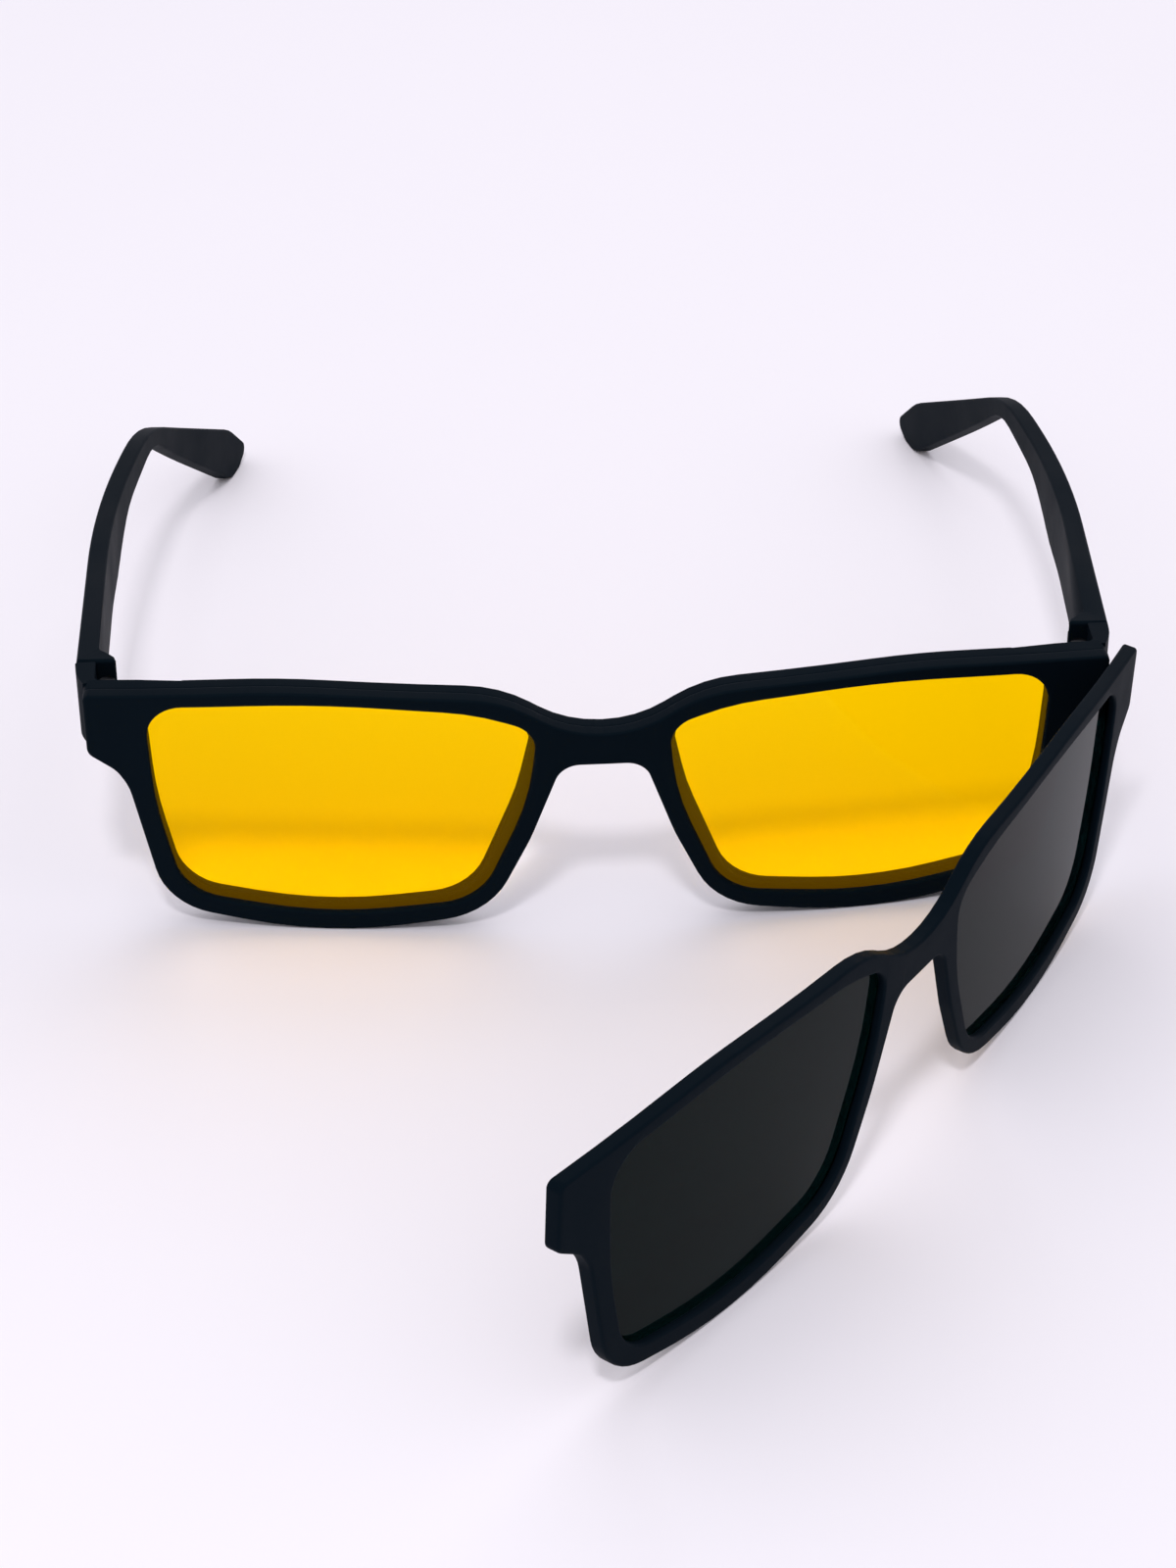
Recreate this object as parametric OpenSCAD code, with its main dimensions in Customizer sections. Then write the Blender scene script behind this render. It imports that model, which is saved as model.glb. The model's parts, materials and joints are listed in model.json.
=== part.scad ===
// Square eyeglasses with two magnetic clip-on fronts, in millimetres.
// Right and left are the wearer's: the right side is at -X, and the front faces -Y.
// Every plate of the front is bent round one upright axis, so the clip-on slides up the front.

/* [Front] */
// Width of each lens opening
lens_w = 52.7; // [48:0.1:58]
// Height of each lens opening
lens_h = 35.5; // [33:0.1:38]
// Distance between the two lens openings at the brow
bridge_w = 17.8; // [15:0.1:21]
// Width of each end piece, from its lens opening to the side of the front
end_w = 8.15; // [7.5:0.05:11]
// Height of the bridge
bridge_h = 5.1; // [4:0.1:7]
// How far the bridge lies under the crown of the brow
bridge_drop = 7; // [5:0.1:9]
// Radius that the whole front is bent to
wrap_r = 359; // [250:1:600]
// Lean of the front, with its brow ahead of its lower rims
front_lean = 4.25; // [0:0.25:8]

/* [Rims] */
// Height of the brow above the lenses
rim_top = 2; // [1.5:0.1:3]
// Height of the rim under the lenses
rim_low = 2.6; // [2:0.1:4]
// Width of the rim beside each lens, at its narrowest
rim_side = 2.9; // [2:0.1:4]
// Height of the end pieces
end_h = 9.7; // [8:0.1:12]
// How far the brow falls from its crown to the end pieces
brow_fall = 2.2; // [0:0.1:4]
// How far each lower rim rises from its lowest point to its corners
low_rise = 3.5; // [1:0.1:5]
// Radius of the lower outer corner of each rim
corner_r = 9; // [5:0.5:12]

/* [Glasses] */
// Thickness of the front of the glasses
frame_t = 2.2; // [2:0.1:4]
// Thickness of the clear lenses
lens_t = 1.2; // [0.8:0.1:1.6]
// Depth of the groove that holds a clear lens
groove_d = 0.8; // [0.4:0.1:1.2]
// How much narrower the glasses' openings are than the clip-on's beside the nose
nose_step = 1.6; // [0:0.1:3]
// How far the nose pads stand back from the front
pad_out = 2; // [1:0.5:9]
// Thickness of the nose pads
pad_t = 2; // [1.4:0.1:3]
// Angle that the nose pads open outwards
pad_flare = 6; // [0:1:30]

/* [Clip-ons] */
// Thickness of a clip-on's frame
clip_t = 2.1; // [1.6:0.1:3]
// Thickness of a clip-on's lens
clip_lens_t = 0.8; // [0.5:0.1:1.2]
// Width of the seat that carries a clip-on's lens
clip_seat = 0.9; // [0.5:0.1:1.4]
// Gap between the glasses and the clip-on that they wear
clip_gap = 0.15; // [0.1:0.05:0.5]
// How much higher than the glasses' outline the clip-on sits
clip_lift = 0.4; // [0.2:0.1:1]
// Radius of the magnets
magnet_r = 1.5; // [1:0.1:1.7]
// Thickness of the magnets
magnet_t = 0.8; // [0.5:0.1:1]

/* [Temples] */
// Thickness of the temples
temple_t = 2.8; // [2.4:0.1:4]
// Distance from the seam at the hinge to the ear bend
temple_run = 84; // [75:0.5:95]
// Distance from the ear bend back to the end of the tip
tip_run = 47.5; // [40:0.5:60]
// How far a temple falls on its way to the ear bend
temple_fall = 7.8; // [4:0.1:10]
// How far a temple bows out between its hinge and the ear bend
temple_bow = 2.1; // [0:0.1:3]
// How far the tip comes inwards from the widest point
tip_in = 14.3; // [5:0.1:20]
// How far both temples swing towards the wearer's left, as they stand
temple_swing = 2.3; // [0:0.1:3]
// Height of a temple where it is deepest
temple_h = 9.9; // [8:0.1:12]
// Height of a temple three quarters of the way to the ear bend
waist_h = 5; // [4:0.1:7]
// Height of a temple at the ear bend
bend_h = 2.4; // [2:0.1:4]
// Height of the paddle at the end of the tip
tip_h = 6.4; // [5:0.1:10]

/* [Hinges] */
// Length of the ear that stands back from each end piece
ear_l = 5; // [4:0.1:7]
// Thickness of that ear
ear_t = 2.8; // [2.5:0.1:4]
// How far that ear spreads outwards on its way to the temple
ear_out = 1.3; // [0:0.1:2]
// Radius of the hinge knuckles
knuckle_r = 1.3; // [1.1:0.05:1.5]
// Height of one knuckle
knuckle_h = 1.95; // [1.5:0.05:2.2]
// Radius of the hinge screw
screw_r = 0.7; // [0.5:0.05:0.8]
// Thickness of the hinge leaves
leaf_t = 0.7; // [0.5:0.05:1]
// Gap between the ear and the knuckles
hinge_gap = 0.2; // [0.2:0.05:0.6]
// Distance from the seam forwards to the hinge axis
hinge_ahead = 2.3; // [2.1:0.1:2.6]
// Clearance between the screw and the temple's knuckle
hinge_play = 0.05; // [0.02:0.01:0.1]

/* [Grey clip-on beside the glasses] */
// Turn of the grey clip-on about the upright
grey_turn = 51.9; // [45:0.1:60]
// Lean of the grey clip-on towards its own front
grey_lean = 2.3; // [0:0.1:5]
// Gap between its back and the end of the yellow clip-on
grey_gap = 0.6; // [0.4:0.05:4]
// How far its far end reaches past the end of the yellow clip-on
grey_reach = 4.5; // [2:0.1:7]

/* [Hidden] */

// Clearance round glued and snapped pieces, and at faces that meet
fit = 0.04;
open_gap = 0.15;
// Overrun of a cutter past the face that it cuts
over = 1;
// Most degrees, and most length, between the points of a rounded corner
arc_step = 9;
arc_length = 4;
$fn = 48;
wrap_fn = 720;

crown_z = rim_low + lens_h + rim_top;
lens_in = bridge_w / 2;
lens_out = lens_in + lens_w;
half_w = lens_out + end_w;
lens_mid = lens_in + 0.56 * lens_w;
opening_top = rim_low + lens_h;

// Outlines: corners are [x, z, radius], counterclockwise as the front is seen from ahead

function unit(v) = v / norm(v);
function turned(v, angle) = [
    v.x * cos(angle) - v.y * sin(angle),
    v.x * sin(angle) + v.y * cos(angle),
];
function angle_between(a, b) = atan2(cross(a, b), a * b);
function flat_point(corner) = [corner.x, corner.y];
function mirrored(corners) = [
    for (i = [len(corners) - 1:-1:0]) [-corners[i].x, corners[i].y, corners[i].z]
];
function raised(corners, lift) = [for (c = corners) [c.x, c.y + lift, c.z]];

// The arc that rounds one corner, cut short where its edges are short
function corner_arc(before, corner, after) =
    let (
        p = flat_point(corner),
        into = unit(p - flat_point(before)),
        out = unit(flat_point(after) - p),
        bend = angle_between(into, out),
        edge = min(norm(p - flat_point(before)), norm(flat_point(after) - p)),
        reach = min(corner.z * tan(abs(bend) / 2), 0.49 * edge),
        r = reach / tan(abs(bend) / 2),
        start = p - reach * into,
        centre = start + sign(bend) * r * [-into.y, into.x],
        steps = max(2, ceil(abs(bend) / arc_step), ceil(r * abs(bend) * PI / 180 / arc_length))
    )
    [for (k = [0:steps]) centre + turned(start - centre, bend * k / steps)];

function rounded(corners) = [
    for (i = [0:len(corners) - 1])
        each corner_arc(
            corners[(i + len(corners) - 1) % len(corners)],
            corners[i],
            corners[(i + 1) % len(corners)]
        )
];

// The same corners moved outwards by d, or inwards where d is negative
function grown(corners, d) = [
    for (i = [0:len(corners) - 1])
        let (
            n = len(corners),
            p = flat_point(corners[i]),
            into = unit(p - flat_point(corners[(i + n - 1) % n])),
            out = unit(flat_point(corners[(i + 1) % n]) - p),
            a = [into.y, -into.x],
            b = [out.y, -out.x],
            moved = p + d * (a + b) / (1 + a * b)
        )
        [moved.x, moved.y, max(corners[i].z + d * sign(cross(into, out)), 0.1)]
];

// How far a wide arc of the outline keeps short of its own corner point
brow_bulge = 0.2;
low_bulge = 1.35;
opening_top_bulge = 0.4;
opening_low_bulge = 0.7;

bridge_top = crown_z - bridge_drop;
bridge_low = bridge_top - bridge_h;
end_top = crown_z - brow_fall;
end_low = end_top - end_h;

// Where the outline's corners lie beside the nose, measured from the lens opening's nose side
bridge_under = 3.3;
bridge_over = 4.2;
brow_start = 4.8;
brow_start_drop = 1;
nose_z = 15.6;
nose_out = 1;
nose_foot = 6.9;
nose_foot_drop = 1;

// Where they lie on the outer side: the lower corner inside the rim's side, and the step to the end piece
corner_in = 3.8;
corner_drop = 0.7;
step_low = 5;
step_mid = 2.5;
step_out = 1.5;
crown_out = 5;

// One half of the outline, from under the bridge round the rim to the top of the bridge
half_outline = [
    [lens_in - bridge_under, bridge_low, 3.5],
    [lens_in + nose_out, nose_z, 30],
    [lens_in + nose_foot, low_rise - nose_foot_drop, 12],
    [lens_mid, -low_bulge, 65],
    [lens_out + rim_side - corner_in, low_rise - corner_drop, corner_r],
    [lens_out + rim_side, end_low - step_low, 30],
    [lens_out + rim_side + step_out, end_low - step_mid, 4],
    [half_w, end_low, 1.5],
    [half_w, end_top, 1.2],
    [lens_mid + crown_out, crown_z + brow_bulge, 100],
    [lens_in + brow_start, crown_z - brow_start_drop, 17],
    [lens_in - bridge_over, bridge_top, 15],
];
outline = concat(half_outline, mirrored(half_outline));
outline_points = rounded(outline);

// Where the corners of an opening lie: how far inside its full width, and above or below its full height
opening_inner = [8.2, 2.1];
opening_outer = [3.6, 2.4];
opening_brow = [8.4, 1.2];
opening_nose_fall = 4.4;
opening_end_fall = 1.5;
opening_nose_in = 1.2;
opening_side_in = 0.6;
opening_nose_waist = 16.1;
opening_side_waist = 18.1;

// A lens opening on the wearer's left, with its nose side moved outwards by step
function opening(step) = [
    [lens_in + 0.2 * step, opening_top - opening_nose_fall, 4.3],
    [lens_in + opening_nose_in + step, opening_top - opening_nose_waist, 40],
    [lens_in + opening_inner.x + 0.7 * step, rim_low + opening_inner.y, 9],
    [lens_mid, rim_low - opening_low_bulge, 62],
    [lens_out - opening_outer.x, rim_low + opening_outer.y, 7.2],
    [lens_out - opening_side_in, opening_top - opening_side_waist, 60],
    [lens_out, opening_top - opening_end_fall, 5.5],
    [lens_mid, opening_top + opening_top_bulge, 120],
    [lens_in + opening_brow.x, opening_top - opening_brow.y, 30],
];
frame_opening = opening(nose_step);
clip_opening = opening(0);

// Depths, measured back from the front face of the glasses
groove_front = (frame_t - lens_t) / 2;
groove_back = groove_front + lens_t;
clip_back = -clip_gap;
clip_front = clip_back - clip_t;
clip_lens_back = clip_back - fit;
clip_lens_front = clip_lens_back - clip_lens_t;

// Magnets, beside the lenses in the end pieces
magnet_x = lens_out + groove_d + magnet_r + 0.3;
magnet_z = end_top - end_h / 2;
magnet_sink = 0.08;
wrap_at_magnet = asin(magnet_x / wrap_r);

// Places on the leaning front: how far back the bent plate lies at x, and its height there
function sag(x, r) = r - sqrt(r * r - x * x);
function lean_y(x, z, depth) = (sag(x, wrap_r) + depth) * cos(front_lean) - z * sin(front_lean);
function lean_z(x, z, depth) = z * cos(front_lean) + (sag(x, wrap_r) + depth) * sin(front_lean);

// Hinge zone on the wearer's left
side_x = half_w + ear_out;
ear_x = side_x - ear_t;
hinge_x = ear_x - hinge_gap - knuckle_r;
end_back_y = lean_y(hinge_x, magnet_z, frame_t);
seam_y = end_back_y + ear_l;
hinge_y = seam_y - hinge_ahead;
ear_low = lean_z(half_w, end_low, frame_t / 2);
ear_top = lean_z(half_w, end_top, frame_t / 2);
knuckle_gap = 0.05;
hinge_h = 3 * knuckle_h + 2 * knuckle_gap;
hinge_low = (ear_low + ear_top) / 2 - hinge_h / 2 - 0.3;
knuckle_z = [for (i = [0:2]) hinge_low + i * (knuckle_h + knuckle_gap)];
anchor_wall = 0.25;
anchor_y = lean_y(hinge_x, hinge_low, magnet_sink + magnet_t + fit + anchor_wall);
anchor_back = end_back_y + 0.5;
anchor_w = 2.6;
leaf_l = 6;
leaf_inset = 1;
knuckle_overlap = 0.3;
head_r = 1.15;
head_h = 0.5;

// Temples, in the glasses' own upright frame, standing on a short foot at the end of the tip
seam_gap = open_gap + (side_x - hinge_x) * sin(temple_swing);
bend_y = seam_y + temple_run;
end_y = bend_y + tip_run;
bend_z = ear_top - temple_fall;
// The foot ends short of the tip's end. Its flat is foot_l long, less the rounding at either end
tip_slant = 4.5;
foot_l = 4;
foot_r = 3;
foot_front_r = 4;
// The paddle rounds off over its last stretch, and by that much
shoulder_l = 8;
shoulder_drop = 2.8;
shoulder_r = 16;
tip_end_r = 2.2;
foot_y = end_y - tip_slant;
foot_reach = norm([foot_y - bend_y, bend_z]);
tip_angle = atan(bend_z / (foot_y - bend_y)) - asin(tip_h / foot_reach);
tip_top = bend_z - tip_run * tan(tip_angle);
tip_nose = tip_top - shoulder_drop;
shoulder_z = tip_top + shoulder_l * tan(tip_angle);
shoulder_angle = atan((shoulder_z - tip_nose) / shoulder_l);
tip_end_turn = 180 - shoulder_angle - atan2(tip_nose, tip_slant);
tip_end_cut = tip_end_r * (tan(tip_end_turn / 2) * cos(shoulder_angle) + sin(shoulder_angle) - 1);

// The grey clip-on stands with its back by the front corner of the yellow clip-on's end
grey_wrap = wrap_r - clip_front;
grey_brow = end_top * sin(grey_lean);
meet_x = half_w - grey_reach;
meet_turn = asin(meet_x / grey_wrap);
meet_y = (sag(meet_x, grey_wrap) + clip_t) * cos(grey_lean) - grey_brow;
meet_point = [meet_x, meet_y] + grey_gap * [-sin(meet_turn), cos(meet_turn)];
grey_origin = [half_w, lean_y(half_w, end_top, clip_front)] - turned(meet_point, grey_turn);
grey_x = grey_origin.x;
grey_y = grey_origin.y;
// Its lowest points end up on the table
grey_lift = -min([
    for (p = outline_points) p.y * cos(grey_lean) + sag(p.x, grey_wrap) * sin(grey_lean)
]);

// The box round everything, which is centred on the origin and stands on z = 0
grey_far = grey_x + half_w * cos(grey_turn)
    - (sag(half_w, grey_wrap) - grey_brow) * sin(grey_turn);
// The right temple swings inwards and reaches out most by its hinge, and the left one by its bow
hinge_bow = 0.1;
swung_bow = 0.85;
swung_run = 0.65;
box_right = -(side_x + hinge_bow * temple_bow);
box_left = max(
    grey_far,
    side_x + swung_bow * temple_bow + swung_run * temple_run * sin(temple_swing)
);
box_front = grey_y - half_w * sin(grey_turn)
    + (sag(half_w, grey_wrap) - grey_brow) * cos(grey_turn);
box_back = end_y - tip_end_cut;
centre_x = (box_right + box_left) / 2;
centre_y = (box_front + box_back) / 2;

// Placing

module centred() {
    translate([-centre_x, -centre_y, 0]) children();
}

module leaning() {
    rotate([front_lean, 0, 0]) children();
}

module grey_place() {
    translate([grey_x, grey_y, grey_lift])
        rotate([0, 0, grey_turn])
            rotate([grey_lean, 0, 0])
                translate([0, -clip_front, -clip_lift])
                    children();
}

module right_side() {
    mirror([1, 0, 0]) children();
}

// A flat shape drawn in x and z, extruded from front to back
module through(points, front, back) {
    translate([0, back, 0])
        rotate([90, 0, 0])
            linear_extrude(back - front)
                polygon(points);
}

// The same shape bent round the upright axis, between two depths
module bent(points, front, back) {
    reach = sag(half_w + 2, wrap_r);
    intersection() {
        through(points, front - over, back + reach + over);
        translate([0, wrap_r, -10])
            difference() {
                cylinder(r = wrap_r - front, h = crown_z + 20, $fn = wrap_fn);
                translate([0, 0, -over])
                    cylinder(r = wrap_r - back, h = crown_z + 20 + 2 * over, $fn = wrap_fn);
            }
    }
}

// A round magnet or its pocket, square to the bent front, from a depth backwards
module magnet_disc(r, depth, thickness) {
    translate([0, wrap_r, magnet_z])
        rotate([0, 0, wrap_at_magnet])
            translate([0, -(wrap_r - depth), 0])
                rotate([-90, 0, 0])
                    cylinder(r = r, h = thickness);
}

// Glasses

// The pad stands back from the rim beside the nose, follows its edge and has a round side
pad_r = 20;
pad_z = nose_z + 0.9;
pad_inset = 0.6;
module nose_pad() {
    edge = [
        [lens_in + nose_out + pad_inset + 3.8, nose_z - 7.6],
        [lens_in + nose_out + pad_inset, nose_z],
        [lens_in + nose_out + pad_inset - 3.6, nose_z + 9.9],
    ];
    band = [
        edge[0], edge[0] + [pad_t, 0], edge[1] + [pad_t, 0], edge[2] + [pad_t, 0], edge[2], edge[1],
    ];
    mid_x = edge[1].x;
    difference() {
        intersection() {
            translate([mid_x, 0, 0])
                rotate([0, 0, -pad_flare])
                    translate([-mid_x, 0, 0])
                        through(band, 0, frame_t + 2 * pad_out);
            translate([0, frame_t + pad_out - pad_r, pad_z])
                rotate([0, 90, 0])
                    cylinder(r = pad_r, h = half_w);
        }
        translate([0, -half_w + frame_t / 2, 0]) cube([lens_mid, half_w, crown_z]);
    }
}

module ear() {
    round_r = 0.8;
    front_y = lean_y(half_w, end_low, frame_t / 3);
    plan = [
        [half_w, front_y, 0.1],
        [side_x - 0.2 * ear_out, end_back_y + 0.35 * ear_l, 9],
        [side_x, seam_y, 0.4],
        [ear_x, seam_y, 0.3],
        [ear_x, end_back_y + round_r, round_r],
        [ear_x - round_r, end_back_y - 0.2, 0.1],
        [ear_x - round_r, front_y, 0.1],
    ];
    translate([0, 0, ear_low])
        linear_extrude(ear_top - ear_low)
            polygon(rounded(plan));
}

module front_body() {
    difference() {
        union() {
            leaning()
                difference() {
                    bent(outline_points, 0, frame_t);
                    for (side = [0, 1])
                        mirror([side, 0, 0])
                            bent(rounded(frame_opening), -over, frame_t + over);
                }
            for (side = [0, 1])
                mirror([side, 0, 0]) {
                    leaning() nose_pad();
                    ear();
                }
        }
        // flats that the lower rims stand on
        translate([-half_w, -over, -over]) cube([2 * half_w, 20, over]);
    }
}

module front_frame() {
    groove = rounded(grown(frame_opening, groove_d + fit));
    color([0.07, 0.08, 0.1])
        centred()
            difference() {
                front_body();
                for (side = [0, 1])
                    mirror([side, 0, 0]) {
                        leaning() {
                            bent(groove, groove_front - fit, groove_back + fit);
                            magnet_disc(magnet_r + fit, -over, over + magnet_t + magnet_sink + fit);
                        }
                        front_hinge_anchor(fit);
                    }
            }
}

module clear_lens() {
    leaning() bent(rounded(grown(frame_opening, groove_d)), groove_front, groove_back);
}

module right_lens() {
    color([0.85, 0.92, 0.95, 0.35]) centred() right_side() clear_lens();
}

module left_lens() {
    color([0.85, 0.92, 0.95, 0.35]) centred() clear_lens();
}

module frame_magnet() {
    leaning() magnet_disc(magnet_r, magnet_sink, magnet_t);
}

module right_frame_magnet() {
    color([0.6, 0.61, 0.63]) centred() right_side() frame_magnet();
}

module left_frame_magnet() {
    color([0.6, 0.61, 0.63]) centred() frame_magnet();
}

// Hinges

// Turns a temple about its hinge, inwards where the angle is positive
module swung(angle) {
    translate([hinge_x, hinge_y, 0])
        rotate([0, 0, angle])
            translate([-hinge_x, -hinge_y, 0])
                children();
}

// The block that holds the front leaf in the end piece
module front_hinge_anchor(gap) {
    translate([hinge_x - knuckle_r - gap, anchor_y - gap, hinge_low - gap])
        cube([anchor_w + 2 * gap, anchor_back - anchor_y + 2 * gap, hinge_h + 2 * gap]);
}

module knuckle(bore_r) {
    difference() {
        union() {
            cylinder(r = knuckle_r, h = knuckle_h);
            children();
        }
        translate([0, 0, -over]) cylinder(r = bore_r, h = knuckle_h + 2 * over);
    }
}

module front_hinge() {
    front_hinge_anchor(0);
    for (i = [0, 2])
        translate([hinge_x, hinge_y, knuckle_z[i]])
            knuckle(screw_r + fit / 2)
                translate([-knuckle_r, anchor_back - hinge_y - knuckle_overlap, 0])
                    cube([leaf_t, hinge_y - anchor_back + knuckle_overlap, knuckle_h]);
}

module temple_leaf(gap) {
    translate([-leaf_t / 2 - gap, hinge_ahead - leaf_inset, -gap])
        cube([leaf_t + 2 * gap, leaf_l + gap, knuckle_h + 2 * gap]);
}

module temple_hinge() {
    translate([hinge_x, hinge_y, knuckle_z[1]])
        knuckle(screw_r + hinge_play)
            union() {
                translate([-leaf_t / 2, 0, 0]) cube([leaf_t, hinge_ahead, knuckle_h]);
                temple_leaf(0);
            }
}

module hinge_screw() {
    slot_w = 0.3;
    translate([hinge_x, hinge_y, hinge_low]) {
        cylinder(r = screw_r, h = hinge_h + fit);
        translate([0, 0, hinge_h + fit])
            difference() {
                cylinder(r = head_r, h = head_h);
                translate([-head_r - over, -slot_w / 2, head_h / 2])
                    cube([2 * (head_r + over), slot_w, head_h]);
            }
    }
}

module right_front_hinge() {
    color([0.13, 0.13, 0.14]) centred() right_side() front_hinge();
}

module left_front_hinge() {
    color([0.13, 0.13, 0.14]) centred() front_hinge();
}

module right_temple_hinge() {
    color([0.13, 0.13, 0.14]) centred() right_side() swung(temple_swing) temple_hinge();
}

module left_temple_hinge() {
    color([0.13, 0.13, 0.14]) centred() swung(-temple_swing) temple_hinge();
}

module right_hinge_screw() {
    color([0.3, 0.3, 0.31]) centred() right_side() hinge_screw();
}

module left_hinge_screw() {
    color([0.3, 0.3, 0.31]) centred() hinge_screw();
}

// Temples

// A point on the temple's top edge, at a share of the way from the seam to the ear bend
function along(share) = [seam_y + share * temple_run, ear_top - share * temple_fall];

// Where along that line a temple is deepest, where it bows out most and where its waist is
deep_share = 0.56;
bow_share = 0.63;
waist_share = 0.75;
// Where along the tip, and how far inwards, the plan has its second corner
tuck_share = 0.22;
tuck_in = 0.3;
// How far the corner of the bow stands outside the bow itself, and the radii of the two bends
bow_over = 0.4;
bow_r = 240;
tuck_r = 200;

// Seen from the side: [y, z, radius], from the seam under the temple to the tip and back on top
module temple_side() {
    bend_low = bend_z - bend_h / cos(tip_angle);
    corners = [
        [seam_y + seam_gap, ear_low, 0.5],
        [along(deep_share).x, along(deep_share).y - temple_h, 25],
        [along(waist_share).x, along(waist_share).y - waist_h, 30],
        [bend_y + 1, bend_low - tan(tip_angle), 20],
        [foot_y - foot_l, 0, foot_front_r],
        [foot_y, 0, foot_r],
        [end_y, tip_nose, tip_end_r],
        [end_y - shoulder_l, shoulder_z, shoulder_r],
        [bend_y, bend_z, 45],
        [seam_y + seam_gap, ear_top, 0.5],
    ];
    rotate([90, 0, 90]) linear_extrude(side_x + temple_bow + over) polygon(rounded(corners));
}

// Seen from above: [x, y, radius], a strip of even thickness with the hinge block inboard
module temple_plan() {
    start_y = seam_y + seam_gap;
    bow_y = along(bow_share).x;
    tuck_y = bend_y + tuck_share * tip_run;
    widest_x = side_x + temple_bow;
    bow_x = widest_x + bow_over;
    tuck_x = widest_x - tuck_in * tip_in;
    end_x = widest_x - tip_in;
    block_x = hinge_x - knuckle_r + 0.2;
    strip = [
        [side_x, start_y, 0.3],
        [bow_x, bow_y, bow_r],
        [tuck_x, tuck_y, tuck_r],
        [end_x, end_y + 1, 1],
        [end_x - temple_t, end_y + 1, 1],
        [tuck_x - temple_t, tuck_y, tuck_r - temple_t],
        [bow_x - temple_t, bow_y, bow_r - temple_t],
        [side_x - temple_t, start_y + 3.2, 2],
        [block_x + 0.3, start_y + 1.4, 1],
        [block_x, start_y, 0.3],
    ];
    linear_extrude(crown_z + 10) polygon(rounded(strip));
}

module temple() {
    difference() {
        intersection() {
            temple_plan();
            temple_side();
        }
        translate([hinge_x, hinge_y, knuckle_z[1]]) temple_leaf(fit);
    }
}

module right_temple() {
    color([0.08, 0.09, 0.11]) centred() right_side() swung(temple_swing) temple();
}

module left_temple() {
    color([0.08, 0.09, 0.11]) centred() swung(-temple_swing) temple();
}

// Clip-ons, drawn where the glasses wear them, before they lean

module clip_frame() {
    seat = rounded(raised(grown(clip_opening, clip_seat + fit), clip_lift));
    hole = rounded(raised(clip_opening, clip_lift));
    difference() {
        bent(rounded(raised(outline, clip_lift)), clip_front, clip_back);
        for (side = [0, 1])
            mirror([side, 0, 0]) {
                bent(hole, clip_front - over, clip_back + over);
                bent(seat, clip_lens_front - fit, clip_back + over);
                translate([0, 0, clip_lift])
                    magnet_disc(magnet_r + fit, clip_back - magnet_t - magnet_sink - fit, magnet_t + over);
            }
    }
}

module clip_lens() {
    bent(rounded(raised(grown(clip_opening, clip_seat), clip_lift)), clip_lens_front, clip_lens_back);
}

module clip_magnet() {
    translate([0, 0, clip_lift]) magnet_disc(magnet_r, clip_back - magnet_t - magnet_sink, magnet_t);
}

module yellow_clip_frame() {
    color([0.07, 0.08, 0.1]) centred() leaning() clip_frame();
}

module yellow_right_lens() {
    color([0.98, 0.78, 0.05, 0.8]) centred() leaning() right_side() clip_lens();
}

module yellow_left_lens() {
    color([0.98, 0.78, 0.05, 0.8]) centred() leaning() clip_lens();
}

module yellow_right_magnet() {
    color([0.6, 0.61, 0.63]) centred() leaning() right_side() clip_magnet();
}

module yellow_left_magnet() {
    color([0.6, 0.61, 0.63]) centred() leaning() clip_magnet();
}

module grey_clip_frame() {
    color([0.12, 0.14, 0.17]) centred() grey_place() clip_frame();
}

module grey_right_lens() {
    color([0.2, 0.24, 0.22, 0.8]) centred() grey_place() right_side() clip_lens();
}

module grey_left_lens() {
    color([0.2, 0.24, 0.22, 0.8]) centred() grey_place() clip_lens();
}

module grey_right_magnet() {
    color([0.6, 0.61, 0.63]) centred() grey_place() right_side() clip_magnet();
}

module grey_left_magnet() {
    color([0.6, 0.61, 0.63]) centred() grey_place() clip_magnet();
}

front_frame();
right_lens();
left_lens();
right_frame_magnet();
left_frame_magnet();
right_front_hinge();
left_front_hinge();
right_hinge_screw();
left_hinge_screw();
right_temple();
left_temple();
right_temple_hinge();
left_temple_hinge();
yellow_clip_frame();
yellow_right_lens();
yellow_left_lens();
yellow_right_magnet();
yellow_left_magnet();
grey_clip_frame();
grey_right_lens();
grey_left_lens();
grey_right_magnet();
grey_left_magnet();
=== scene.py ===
"""Square eyeglasses with a yellow and a dark grey clip-on front.

Laid out as an add-on and run as a script. Everything is in metres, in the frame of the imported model, with
the table at z = 0, the wearer's left at +X and the front facing -Y.
"""

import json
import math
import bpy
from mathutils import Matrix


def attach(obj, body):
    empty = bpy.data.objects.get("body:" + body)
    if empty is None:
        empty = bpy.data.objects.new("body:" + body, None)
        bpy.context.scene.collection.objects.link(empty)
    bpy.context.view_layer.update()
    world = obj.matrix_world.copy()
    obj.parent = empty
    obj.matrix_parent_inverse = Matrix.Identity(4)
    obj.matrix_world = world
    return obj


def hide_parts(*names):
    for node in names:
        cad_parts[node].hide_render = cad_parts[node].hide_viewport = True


bl_info = {
    "name": "Square eyeglasses",
    "version": (1, 0, 0),
    "blender": (4, 5, 0),
    "location": "3D View > Sidebar > Eyeglasses",
    "description": "Builds and finishes square eyeglasses with two clip-on fronts",
    "category": "Object",
}

import bmesh
import bpy
from bpy.props import FloatProperty, FloatVectorProperty, IntProperty, PointerProperty
from mathutils import Euler, Vector

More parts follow.
